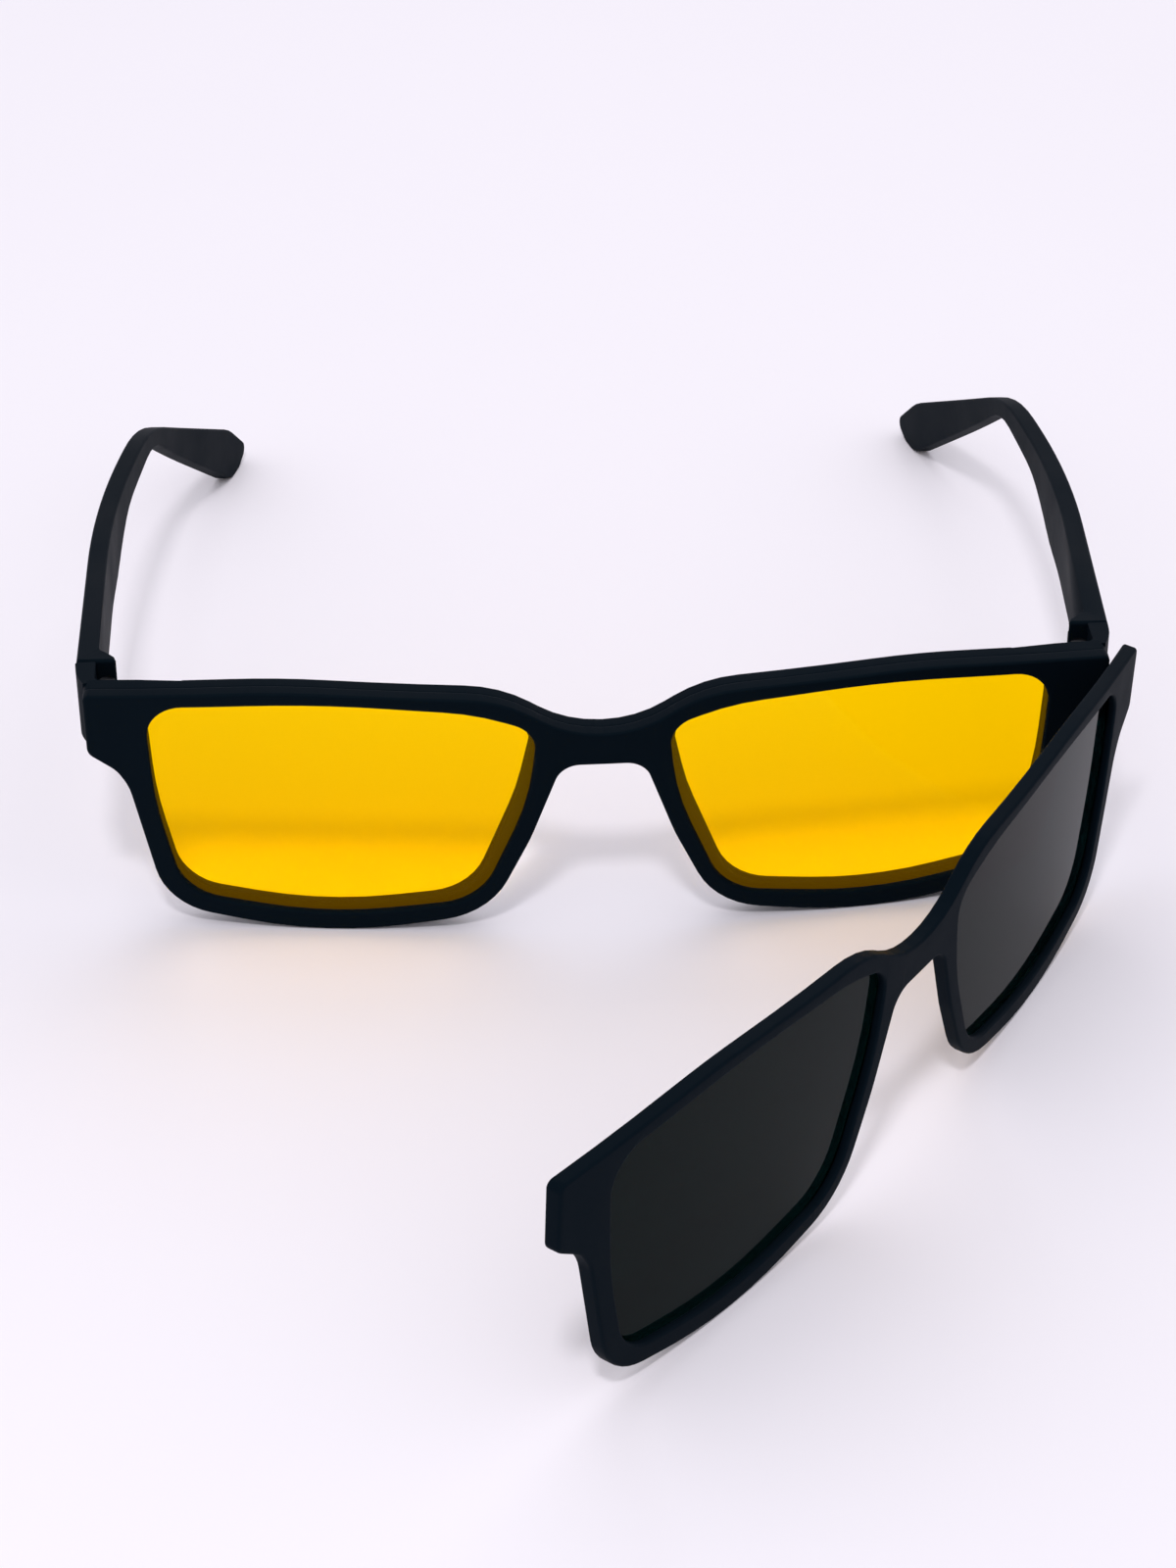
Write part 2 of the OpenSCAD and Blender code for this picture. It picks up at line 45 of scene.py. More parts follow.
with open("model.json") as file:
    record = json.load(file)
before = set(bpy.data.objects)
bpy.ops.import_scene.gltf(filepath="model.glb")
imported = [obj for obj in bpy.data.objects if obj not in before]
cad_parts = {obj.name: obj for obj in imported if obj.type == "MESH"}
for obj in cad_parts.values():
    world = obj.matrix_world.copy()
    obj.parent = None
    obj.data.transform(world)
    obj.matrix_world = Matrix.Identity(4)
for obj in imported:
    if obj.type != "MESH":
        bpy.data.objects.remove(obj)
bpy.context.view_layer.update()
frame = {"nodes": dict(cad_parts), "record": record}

MM = 0.001

# Points closer than this are one
JOIN_DISTANCE = 0.001 * MM
# Edges that turn less than this many degrees lie inside a flat face
FLAT_TURN = 0.05
# Edges of a moulding or fitting that turn more than this many degrees are rounded
SHARP_TURN = 38
# Edges of a lens that turn more than this many degrees are its rim
LENS_RIM_TURN = 30

# How far round a hinge the edges of the mouldings keep a small radius, along each axis
HINGE_MARGIN = (3.4 * MM, 1.2 * MM, 4 * MM)
# Steps in the edges with a small radius
SMALL_STEPS = 2

# Mean outward turns in radians, from which an edge takes its wear and painted highlight, and at which it
# takes them most
LEAST_WEAR_AND_HIGHLIGHT_TURN = 0.08
MOST_WEAR_AND_HIGHLIGHT_TURN = 0.3

# The noise levels at which the wear and painted highlight on an edge break up and are whole, and the share
# left where they break up
WEAR_AND_HIGHLIGHT_LEVELS = (0.35, 0.7)
LEAST_WEAR_AND_HIGHLIGHT = 0.35
# The noise levels at which a smear starts and is full
SMEAR_LEVELS = (0.45, 0.75)
# The middle of the range that the broad patches of a surface take
PATCH_LEVELS = (0.3, 0.7)
# How far a colour moves each way over the patches, as a share of itself
PLASTIC_CLOUD = 0.15
METAL_CLOUD = 0.2
FLOOR_CLOUD = 0.01
# How far the roughness moves down and up over the patches
PLASTIC_UNEVEN = (0.05, 0.05)
METAL_UNEVEN = (0.08, 0.1)
# The share of its roughness that the plastic keeps where it is rubbed most
RUBBED_ROUGHNESS = 0.78
# Depths of the grain that the settings don't hold
METAL_GRAIN = 0.004 * MM
FLOOR_GRAIN = 0.01 * MM

# The stage: the floor, the colour of the dome's light, the lamps, and the camera's film in millimetres
FLOOR_REACH = 4.0
FLOOR_ROUGHNESS = 0.85
FLOOR_GLOSS = 0.1
DOME_TINT = (0.97, 0.98, 1.0, 1.0)
OVERHEAD_PLACE = (0.1, 0.7, 0.9)
OVERHEAD_SIZE = 0.8
KEY_PLACE = (-0.1, -0.55, 0.85)
KEY_SIZE = 0.1
FILM_WIDTH = 36.0
NEAREST_SEEN = 0.01

MOULDINGS = {
    "front_moulding": "front_frame",
    "yellow_clip_moulding": "yellow_clip_frame",
    "grey_clip_moulding": "grey_clip_frame",
    "right_temple_moulding": "right_temple",
    "left_temple_moulding": "left_temple",
}
LENSES = {
    "clear_right_glass": "right_lens",
    "clear_left_glass": "left_lens",
    "yellow_right_glass": "yellow_right_lens",
    "yellow_left_glass": "yellow_left_lens",
    "grey_right_glass": "grey_right_lens",
    "grey_left_glass": "grey_left_lens",
}
FITTINGS = {
    "right_end_leaf": "right_front_hinge",
    "left_end_leaf": "left_front_hinge",
    "right_arm_leaf": "right_temple_hinge",
    "left_arm_leaf": "left_temple_hinge",
    "right_pivot_screw": "right_hinge_screw",
    "left_pivot_screw": "left_hinge_screw",
}
MAGNETS = {
    "right_front_magnet": "right_frame_magnet",
    "left_front_magnet": "left_frame_magnet",
    "right_yellow_magnet": "yellow_right_magnet",
    "left_yellow_magnet": "yellow_left_magnet",
    "right_grey_magnet": "grey_right_magnet",
    "left_grey_magnet": "grey_left_magnet",
}


def body_of(node):
    """The name of the body that a CAD node moves with."""
    bodies = frame["record"]["behaviour"]["bodies"]
    return next(body for body, members in bodies.items() if node in members)


# Settings


def length(name, description, default, low, high):
    """A size in metres."""
    return FloatProperty(
        name=name,
        description=description,
        default=default,
        min=low,
        max=high,
        precision=5,
        subtype="DISTANCE",
        unit="LENGTH",
    )


def share(name, description, default):
    """A part of one."""
    return FloatProperty(
        name=name, description=description, default=default, min=0.0, max=1.0, subtype="FACTOR"
    )


def colour(name, description, default):
    """A colour, in linear red, green and blue."""
    return FloatVectorProperty(
        name=name, description=description, default=default, size=3, min=0.0, max=1.0, subtype="COLOR"
    )


class MouldingSettings(bpy.types.PropertyGroup):
    """Sizes and finish of the black plastic mouldings."""

    edge: length("Edge radius", "Radius on the edges of the mouldings", 0.4 * MM, 0.1 * MM, 0.5 * MM)
    hinge_edge: length(
        "Radius by the hinges", "Radius on the edges close to a hinge", 0.1 * MM, 0.02 * MM, 0.2 * MM
    )
    steps: IntProperty(name="Edge steps", description="Steps in each rounded edge", default=3, min=2, max=6)
    body: colour("Plastic", "Colour of the satin plastic", (0.0021, 0.0048, 0.0082))
    # Painted highlight: the lighter colour that the convex edges of the mouldings take
    rubbed_and_highlight: colour("Painted edge highlight", "Lighter colour painted on the edges as a highlight, where handling also polishes them", (0.0034, 0.0072, 0.0115))
    sheen: colour("Sheen", "Tint of the satin skin's reflection", (0.48, 0.8, 1.0))
    roughness: share("Roughness", "Roughness of the satin skin", 0.55)
    gloss: share("Reflection", "Strength of the satin skin's reflection", 0.022)
    grain: length("Grain size", "Distance between the grains of the skin", 0.3 * MM, 0.05 * MM, 5 * MM)
    grain_depth: length("Grain depth", "Depth of the grain", 0.004 * MM, 0.0, 0.1 * MM)


class LensSettings(bpy.types.PropertyGroup):
    """Tints and polish of the lenses."""

    yellow_top: colour("Yellow, top", "Tint at the top of the yellow lenses", (0.995, 0.625, 0.0))
    yellow_low: colour("Yellow, bottom", "Tint at the bottom of the yellow lenses", (0.955, 0.51, 0.0))
    grey_top: colour("Grey, top", "Tint at the top of the grey lenses", (0.0005, 0.0044, 0.0043))
    grey_low: colour("Grey, bottom", "Tint at the bottom of the grey lenses", (0.0009, 0.0052, 0.005))
    clear: colour("Clear", "Tint of the clear lenses", (0.985, 0.99, 0.985))
    # Painted light: a faint glow in the yellow lenses' own tint
    painted_glow: share("Painted glow", "Strength of the glow painted into the yellow lenses", 0.045)
    polish: share("Roughness", "Roughness of the polished face", 0.015)
    smear: share("Smear", "How much faint smears add to that roughness", 0.03)
    ior: FloatProperty(
        name="Index",
        description="Index of refraction, low enough for the faint reflection of a coated lens",
        default=1.106,
        min=1.0,
        max=2.0,
    )


class MetalSettings(bpy.types.PropertyGroup):
    """Finish of the hinges, screws and magnets."""

    edge: length(
        "Edge radius", "Radius on the edges of leaves, screws and magnets", 0.1 * MM, 0.02 * MM, 0.3 * MM
    )
    leaf: colour("Leaf", "Colour of the black plated hinge leaves", (0.009, 0.01, 0.012))
    screw: colour("Screw", "Colour of the dark screws", (0.016, 0.017, 0.019))
    nickel: colour("Nickel", "Colour of the plated magnets", (0.55, 0.54, 0.52))
    bare: colour("Bare metal", "Colour where the plating has worn through", (0.32, 0.31, 0.3))
    roughness: share("Roughness", "Roughness of the plating", 0.32)


class StageSettings(bpy.types.PropertyGroup):
    """Floor, light and camera."""

    floor: colour("Floor", "Colour of the pale floor", (0.93, 0.88, 0.958))
    backdrop: colour("Backdrop", "Colour seen past the floor", (0.93, 0.88, 0.958))
    dome: FloatProperty(name="Dome", description="Light from all round", default=0.76, min=0.0, max=2.0)
    overhead: FloatProperty(
        name="Overhead lamp", description="Power of the wide lamp above", default=1.9, min=0.0, unit="POWER"
    )
    key: FloatProperty(
        name="Key lamp",
        description="Power of the lamp in front and above",
        default=2.5,
        min=0.0,
        unit="POWER",
    )
    camera_place: FloatVectorProperty(
        name="Camera place",
        description="Where the camera stands",
        default=(-0.031017, -0.431715, 0.293988),
        subtype="TRANSLATION",
        unit="LENGTH",
        precision=5,
    )
    camera_turn: FloatVectorProperty(
        name="Camera turn",
        description="How the camera is turned",
        default=(0.991291, 0.004512, -0.068794),
        subtype="EULER",
        unit="ROTATION",
        precision=5,
    )
    camera_lens: FloatProperty(
        name="Camera lens",
        description="Focal length, for a long side of 36 mm",
        default=83.03,
        min=10.0,
        unit="CAMERA",
    )


# Shader node groups


def add_node(tree, kind, place, values=None, **settings):
    """A node of one kind, with its settings and the values of its unlinked inputs."""
    node = tree.nodes.new(kind)
    node.location = place
    for name, value in settings.items():
        setattr(node, name, value)
    for key, value in (values or {}).items():
        node.inputs[key].default_value = value
    return node


def new_group(name, inputs, outputs):
    """An empty shader node group with its interface, and its input and output nodes."""
    group = bpy.data.node_groups.new(name, "ShaderNodeTree")
    for label, kind, default in inputs:
        socket = group.interface.new_socket(label, in_out="INPUT", socket_type=kind)
        socket.default_value = default
    for label, kind in outputs:
        group.interface.new_socket(label, in_out="OUTPUT", socket_type=kind)
    start = add_node(group, "NodeGroupInput", (-900, 0))
    end = add_node(group, "NodeGroupOutput", (600, 0))
    return group, start, end


def blend_colours(tree, place, factor, first, second):
    """A colour mix. Each of its three parts is a socket or a plain value."""
    mix = add_node(tree, "ShaderNodeMix", place, data_type="RGBA")
    for socket, part in ((mix.inputs[0], factor), (mix.inputs[6], first), (mix.inputs[7], second)):
        if isinstance(part, bpy.types.NodeSocket):
            tree.links.new(part, socket)
        elif socket.type == "RGBA":
            socket.default_value = (*part, 1.0)
        else:
            socket.default_value = part
    return mix.outputs[2]


def map_range(tree, place, value, source, target):
    """A value moved from one range to another, and held inside it."""
    node = add_node(tree, "ShaderNodeMapRange", place)
    tree.links.new(value, node.inputs["Value"])
    node.inputs["From Min"].default_value = source[0]
    node.inputs["From Max"].default_value = source[1]
    node.inputs["To Min"].default_value = target[0]
    node.inputs["To Max"].default_value = target[1]
    return node.outputs["Result"]


def multiply(tree, place, first, second):
    """The product of two sockets."""
    node = add_node(tree, "ShaderNodeMath", place, operation="MULTIPLY")
    tree.links.new(first, node.inputs[0])
    tree.links.new(second, node.inputs[1])
    return node.outputs[0]


def skin_grain_group():
    """The fine skin of a mould or a plated part: a height, and a broad unevenness."""
    group, start, end = new_group(
        "Skin grain",
        [("Size", "NodeSocketFloat", 0.3 * MM), ("Patch size", "NodeSocketFloat", 12 * MM)],
        [("Height", "NodeSocketFloat"), ("Patches", "NodeSocketFloat")],
    )
    place = add_node(group, "ShaderNodeTexCoord", (-900, 300))
    for size, output, detail, row in (("Size", "Height", 3.0, 0), ("Patch size", "Patches", 4.0, -300)):
        scale = add_node(group, "ShaderNodeMath", (-600, row), {0: 1.0}, operation="DIVIDE")
        group.links.new(start.outputs[size], scale.inputs[1])
        noise = add_node(group, "ShaderNodeTexNoise", (-300, row), {"Detail": detail, "Roughness": 0.6})
        group.links.new(place.outputs["Object"], noise.inputs["Vector"])
        group.links.new(scale.outputs[0], noise.inputs["Scale"])
        group.links.new(noise.outputs["Fac"], end.inputs[output])
    return group


def edge_wear_and_highlight_group():
    """A mask for edge wear and painted edge highlight, from the edge attribute of the piece and a broken-up
    noise.
    """
    group, start, end = new_group(
        "Edge wear and highlight",
        [("Spread", "NodeSocketFloat", 0.5), ("Break-up size", "NodeSocketFloat", 2 * MM)],
        [("Wear and highlight", "NodeSocketFloat")],
    )
    place = add_node(group, "ShaderNodeTexCoord", (-900, 300))
    edge = add_node(group, "ShaderNodeAttribute", (-600, 300), attribute_name="edge")
    scale = add_node(group, "ShaderNodeMath", (-600, 0), {0: 1.0}, operation="DIVIDE")
    group.links.new(start.outputs["Break-up size"], scale.inputs[1])
    noise = add_node(group, "ShaderNodeTexNoise", (-400, 0), {"Detail": 5.0, "Roughness": 0.65})
    group.links.new(place.outputs["Object"], noise.inputs["Vector"])
    group.links.new(scale.outputs[0], noise.inputs["Scale"])
    # This mask places real wear on the metal and a painted highlight on the plastic's edges
    broken = map_range(group, (-200, 0), noise.outputs["Fac"], WEAR_AND_HIGHLIGHT_LEVELS, (LEAST_WEAR_AND_HIGHLIGHT, 1.0))
    spread = multiply(group, (-100, 300), edge.outputs["Fac"], start.outputs["Spread"])
    rubbed_and_highlight = multiply(group, (100, 100), spread, broken)
    held = map_range(group, (300, 100), rubbed_and_highlight, (0.0, 1.0), (0.0, 1.0))
    group.links.new(held, end.inputs["Wear and highlight"])
    return group


def tint_fall_group():
    """A tint that changes from the foot of a lens to its top, with faint smears."""
    group, start, end = new_group(
        "Lens tint",
        [
            ("Top", "NodeSocketColor", (1.0, 1.0, 1.0, 1.0)),
            ("Bottom", "NodeSocketColor", (1.0, 1.0, 1.0, 1.0)),
            ("Height", "NodeSocketFloat", 40 * MM),
            ("Smear size", "NodeSocketFloat", 9 * MM),
        ],
        [("Tint", "NodeSocketColor"), ("Smear", "NodeSocketFloat")],
    )
    place = add_node(group, "ShaderNodeTexCoord", (-900, 300))
    split = add_node(group, "ShaderNodeSeparateXYZ", (-700, 300))
    group.links.new(place.outputs["Object"], split.inputs[0])
    level = add_node(group, "ShaderNodeMath", (-500, 300), operation="DIVIDE", use_clamp=True)
    group.links.new(split.outputs["Z"], level.inputs[0])
    group.links.new(start.outputs["Height"], level.inputs[1])
    bottom, top = start.outputs["Bottom"], start.outputs["Top"]
    tint = blend_colours(group, (-200, 300), level.outputs[0], bottom, top)
    group.links.new(tint, end.inputs["Tint"])
    scale = add_node(group, "ShaderNodeMath", (-600, -100), {0: 1.0}, operation="DIVIDE")
    group.links.new(start.outputs["Smear size"], scale.inputs[1])
    stretch = add_node(group, "ShaderNodeMapping", (-600, 100), {"Scale": (1.0, 1.0, 2.4)})
    group.links.new(place.outputs["Object"], stretch.inputs["Vector"])
    swirl = {"Detail": 4.0, "Roughness": 0.55, "Distortion": 0.6}
    noise = add_node(group, "ShaderNodeTexNoise", (-300, 0), swirl)
    group.links.new(stretch.outputs[0], noise.inputs["Vector"])
    group.links.new(scale.outputs[0], noise.inputs["Scale"])
    smear = map_range(group, (0, 0), noise.outputs["Fac"], SMEAR_LEVELS, (0.0, 1.0))
    group.links.new(smear, end.inputs["Smear"])
    return group


GROUP_MAKERS = {
    "Skin grain": skin_grain_group,
    "Edge wear and highlight": edge_wear_and_highlight_group,
    "Lens tint": tint_fall_group,
}


def place_group(tree, name, place, values=None):
    """A group node, whose group is made the first time that it is asked for."""
    group = bpy.data.node_groups.get(name) or GROUP_MAKERS[name]()
    node = add_node(tree, "ShaderNodeGroup", place, node_tree=group)
    for key, value in (values or {}).items():
        node.inputs[key].default_value = value
    return node


# Materials


def new_material(name):
    """A material with only its shader and its output."""
    material = bpy.data.materials.new(name)
    material.use_nodes = True
    tree = material.node_tree
    tree.nodes.clear()
    output = add_node(tree, "ShaderNodeOutputMaterial", (600, 0))
    shader = add_node(tree, "ShaderNodeBsdfPrincipled", (300, 0))
    tree.links.new(shader.outputs[0], output.inputs["Surface"])
    return material, tree, shader


def add_bump(tree, shader, height, depth):
    """A bump of a real depth."""
    bump = add_node(tree, "ShaderNodeBump", (50, -300), {"Strength": 1.0, "Distance": depth})
    tree.links.new(height, bump.inputs["Height"])
    tree.links.new(bump.outputs[0], shader.inputs["Normal"])


def cloud_colour(tree, place, patches, base, spread):
    """A colour that varies over broad patches, by a share of itself each way."""
    darker = tuple((1.0 - spread) * part for part in base)
    lighter = tuple(min((1.0 + spread) * part, 1.0) for part in base)
    return blend_colours(tree, place, patches, darker, lighter)


def satin_plastic(name, settings):
    """Matte moulded plastic: fine grain, broad patches of sheen, and edges polished by handling, with a
    lighter colour painted on them as a highlight.
    """
    material, tree, shader = new_material(name)
    grain = place_group(tree, "Skin grain", (-600, -200), {"Size": settings.grain, "Patch size": 14 * MM})
    wear_and_highlight = place_group(tree, "Edge wear and highlight", (-600, 200), {"Spread": 0.85, "Break-up size": 1.6 * MM})
    body = tuple(settings.body)
    clouded = cloud_colour(tree, (-200, 200), grain.outputs["Patches"], body, PLASTIC_CLOUD)
    # Painted highlight: a lighter colour along the convex edges, which handling also makes less rough
    finished = blend_colours(tree, (0, 200), wear_and_highlight.outputs["Wear and highlight"], clouded, tuple(settings.rubbed_and_highlight))
    tree.links.new(finished, shader.inputs["Base Color"])
    least, most = settings.roughness - PLASTIC_UNEVEN[0], settings.roughness + PLASTIC_UNEVEN[1]
    uneven = map_range(tree, (-400, -100), grain.outputs["Patches"], PATCH_LEVELS, (least, most))
    eased = map_range(tree, (-400, 0), wear_and_highlight.outputs["Wear and highlight"], (0.0, 1.0), (1.0, RUBBED_ROUGHNESS))
    tree.links.new(multiply(tree, (0, 0), uneven, eased), shader.inputs["Roughness"])
    shader.inputs["Specular IOR Level"].default_value = settings.gloss
    shader.inputs["Specular Tint"].default_value = (*settings.sheen, 1.0)
    add_bump(tree, shader, grain.outputs["Height"], settings.grain_depth)
    return material


def tinted_lens(name, settings, top, low, painted_glow=0.0):
    """Polished lens plastic, tinted through its thickness, with a faint glow painted in its own tint where
    one is asked for.
    """
    material, tree, shader = new_material(name)
    tint = place_group(tree, "Lens tint", (-400, 0), {"Top": (*top, 1.0), "Bottom": (*low, 1.0)})
    tree.links.new(tint.outputs["Tint"], shader.inputs["Base Color"])
    least, most = settings.polish, settings.polish + settings.smear
    polish = map_range(tree, (-100, -200), tint.outputs["Smear"], (0.0, 1.0), (least, most))
    tree.links.new(polish, shader.inputs["Roughness"])
    shader.inputs["IOR"].default_value = settings.ior
    shader.inputs["Transmission Weight"].default_value = 1.0
    # Painted light: the lens glows faintly in its own tint
    if painted_glow:
        tree.links.new(tint.outputs["Tint"], shader.inputs["Emission Color"])
        shader.inputs["Emission Strength"].default_value = painted_glow
    return material


def plated_metal(name, settings, plating, worn, glance):
    """Plated metal, worn along its edges by a share, with a set reflection at a low angle."""
    material, tree, shader = new_material(name)
    grain = place_group(tree, "Skin grain", (-600, -200), {"Size": 0.12 * MM, "Patch size": 2 * MM})
    wear_and_highlight = place_group(tree, "Edge wear and highlight", (-600, 200), {"Spread": worn, "Break-up size": 0.5 * MM})
    clouded = cloud_colour(tree, (-200, 200), grain.outputs["Patches"], plating, METAL_CLOUD)
    finished = blend_colours(tree, (0, 200), wear_and_highlight.outputs["Wear and highlight"], clouded, tuple(settings.bare))
    tree.links.new(finished, shader.inputs["Base Color"])
    least, most = settings.roughness - METAL_UNEVEN[0], settings.roughness + METAL_UNEVEN[1]
    rough = map_range(tree, (-200, -100), grain.outputs["Patches"], PATCH_LEVELS, (least, most))
    tree.links.new(rough, shader.inputs["Roughness"])
    shader.inputs["Metallic"].default_value = 1.0
    shader.inputs["Specular Tint"].default_value = (glance, glance, glance, 1.0)
    add_bump(tree, shader, grain.outputs["Height"], METAL_GRAIN)
    return material


def pale_floor(name, settings):
    """The floor: one pale colour with the faintest clouding."""
    material, tree, shader = new_material(name)
    grain = place_group(tree, "Skin grain", (-600, 0), {"Size": 1.2 * MM, "Patch size": 160 * MM})
    base = tuple(settings.floor)
    clouded = cloud_colour(tree, (-100, 100), grain.outputs["Patches"], base, FLOOR_CLOUD)
    tree.links.new(clouded, shader.inputs["Base Color"])
    shader.inputs["Roughness"].default_value = FLOOR_ROUGHNESS
    shader.inputs["Specular IOR Level"].default_value = FLOOR_GLOSS
    add_bump(tree, shader, grain.outputs["Height"], FLOOR_GRAIN)
    return material


# Mesh work


def joined_copy(node):
    """A CAD node's shape as a bmesh, with its loose triangles joined."""
    bm = bmesh.new()
    bm.from_mesh(frame["nodes"][node].data)
    bmesh.ops.remove_doubles(bm, verts=bm.verts[:], dist=JOIN_DISTANCE)
    return bm


def mesh_of(bm, name):
    """The bmesh as a mesh with smooth faces, with nothing of the CAD file's own shading."""
    mesh = bpy.data.meshes.new(name)
    bm.to_mesh(mesh)
    bm.free()
    shading = [a.name for a in mesh.attributes if a.name in ("custom_normal", "sharp_face", "sharp_edge")]
    for layer in shading:
        mesh.attributes.remove(mesh.attributes[layer])
    mesh.shade_smooth()
    return mesh


def mark_edges(bm):
    """Writes to the edge attribute how sharply the surface turns outwards at each vertex, from 0 to 1."""
    layer = bm.verts.layers.float.new("edge")
    for vert in bm.verts:
        turns = [e.calc_face_angle_signed(0.0) for e in vert.link_edges]
        turn = sum(turns) / len(turns)
        vert[layer] = min(max((turn - LEAST_WEAR_AND_HIGHLIGHT_TURN) / (MOST_WEAR_AND_HIGHLIGHT_TURN - LEAST_WEAR_AND_HIGHLIGHT_TURN), 0.0), 1.0)


def hinge_boxes(margin):
    """The boxes round the hinges, grown by a margin along each axis."""
    boxes = []
    for node in FITTINGS.values():
        places = [v.co for v in frame["nodes"][node].data.vertices]
        low = [min(p[axis] for p in places) - margin[axis] for axis in range(3)]
        high = [max(p[axis] for p in places) + margin[axis] for axis in range(3)]
        boxes.append((low, high))
    return boxes


def inside(place, box):
    """Whether a place lies in a box."""
    return all(box[0][axis] <= place[axis] <= box[1][axis] for axis in range(3))


def round_edges(bm, edges, radius, steps, held):
    """Bevels edges to a radius. A held bevel stops where it would meet another one."""
    bmesh.ops.bevel(
        bm,
        geom=edges,
        offset=radius,
        offset_type="OFFSET",
        affect="EDGES",
        segments=steps,
        profile=0.5,
        clamp_overlap=held,
        material=-1,
    )


def cleaned_copy(node):
    """A CAD node's shape as a bmesh of whole flat faces."""
    bm = joined_copy(node)
    bmesh.ops.dissolve_limit(bm, angle_limit=math.radians(FLAT_TURN), verts=bm.verts[:], edges=bm.edges[:])
    return bm


def sharp_edges(bm):
    """The edges that a mould or a tool would round."""
    return [e for e in bm.edges if e.is_manifold and e.calc_face_angle(0.0) > math.radians(SHARP_TURN)]


def shaded_mesh(bm, name):
    """The bmesh as a mesh whose large faces are shaded flat and whose rounded edges are shaded round."""
    bmesh.ops.triangulate(bm, faces=bm.faces[:])
    mark_edges(bm)
    mesh = mesh_of(bm, name)
    mesh.set_sharp_from_angle(angle=math.radians(SHARP_TURN))
    holder = bpy.data.objects.new("holder", mesh)
    bpy.context.scene.collection.objects.link(holder)
    weigh = holder.modifiers.new("Weigh", "WEIGHTED_NORMAL")
    weigh.keep_sharp = True
    graph = bpy.context.evaluated_depsgraph_get()
    shaded = bpy.data.meshes.new_from_object(holder.evaluated_get(graph))
    bpy.data.objects.remove(holder)
    bpy.data.meshes.remove(mesh)
    shaded.name = name
    return shaded


def moulded_mesh(node, name, settings):
    """A CAD moulding with every edge rounded, as it comes out of a polished mould."""
    bm = cleaned_copy(node)
    boxes = hinge_boxes(HINGE_MARGIN)
    wide, narrow = [], []
    for edge in sharp_edges(bm):
        by_hinge = any(inside(vert.co, box) for vert in edge.verts for box in boxes)
        (narrow if by_hinge else wide).append(edge)
    round_edges(bm, wide, settings.edge, settings.steps, False)
    narrow = [edge for edge in narrow if edge.is_valid]
    if narrow:
        round_edges(bm, narrow, settings.hinge_edge, SMALL_STEPS, True)
    return shaded_mesh(bm, name)


def fitting_mesh(node, name, radius):
    """A small CAD fitting with its sharp edges bevelled."""
    bm = cleaned_copy(node)
    round_edges(bm, sharp_edges(bm), radius, SMALL_STEPS, True)
    return shaded_mesh(bm, name)


def lens_mesh(node, name):
    """A CAD lens with smooth faces and a crisp rim."""
    mesh = mesh_of(joined_copy(node), name)
    mesh.set_sharp_from_angle(angle=math.radians(LENS_RIM_TURN))
    return mesh


def stand_in(name, node, mesh, material):
    """Makes the finished piece of a CAD node: it rides on the node's body and takes its place."""
    mesh.materials.clear()
    mesh.materials.append(material)
    piece = bpy.data.objects.new(name, mesh)
    bpy.context.scene.collection.objects.link(piece)
    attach(piece, body_of(node))
    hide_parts(node)


# Operators


class EYEGLASSES_OT_mouldings(bpy.types.Operator):
    """Build the front, the temples and both clip-on frames as rounded satin mouldings"""

    bl_idname = "eyeglasses.mouldings"
    bl_label = "Build mouldings"

    def execute(self, context):
        settings = context.scene.eyeglasses_mouldings
        plastic = satin_plastic("Satin black plastic", settings)
        for name, node in MOULDINGS.items():
            stand_in(name, node, moulded_mesh(node, name, settings), plastic)
        return {"FINISHED"}


class EYEGLASSES_OT_lenses(bpy.types.Operator):
    """Build the clear, yellow and dark grey lenses"""

    bl_idname = "eyeglasses.lenses"
    bl_label = "Build lenses"

    def execute(self, context):
        settings = context.scene.eyeglasses_lenses
        clear = tuple(settings.clear)
        yellow = tuple(settings.yellow_top), tuple(settings.yellow_low)
        grey = tuple(settings.grey_top), tuple(settings.grey_low)
        glass = {
            "clear": tinted_lens("Clear lens", settings, clear, clear),
            "yellow": tinted_lens("Yellow lens", settings, *yellow, settings.painted_glow),
            "grey": tinted_lens("Dark grey lens", settings, *grey),
        }
        for name, node in LENSES.items():
            stand_in(name, node, lens_mesh(node, name), glass[name.split("_")[0]])
        return {"FINISHED"}


class EYEGLASSES_OT_fittings(bpy.types.Operator):
    """Build the hinge leaves, the screws and the magnets"""

    bl_idname = "eyeglasses.fittings"
    bl_label = "Build hinges and magnets"

    def execute(self, context):
        settings = context.scene.eyeglasses_metal
        plated = plated_metal("Black plated hinge", settings, tuple(settings.leaf), worn=0.08, glance=0.12)
        dark = plated_metal("Dark screw", settings, tuple(settings.screw), worn=0.12, glance=0.12)
        nickel = plated_metal("Nickel magnet", settings, tuple(settings.nickel), worn=0.0, glance=1.0)
        for name, node in FITTINGS.items():
            metal = dark if name.endswith("screw") else plated
            stand_in(name, node, fitting_mesh(node, name, settings.edge), metal)
        for name, node in MAGNETS.items():
            stand_in(name, node, fitting_mesh(node, name, settings.edge), nickel)
        return {"FINISHED"}


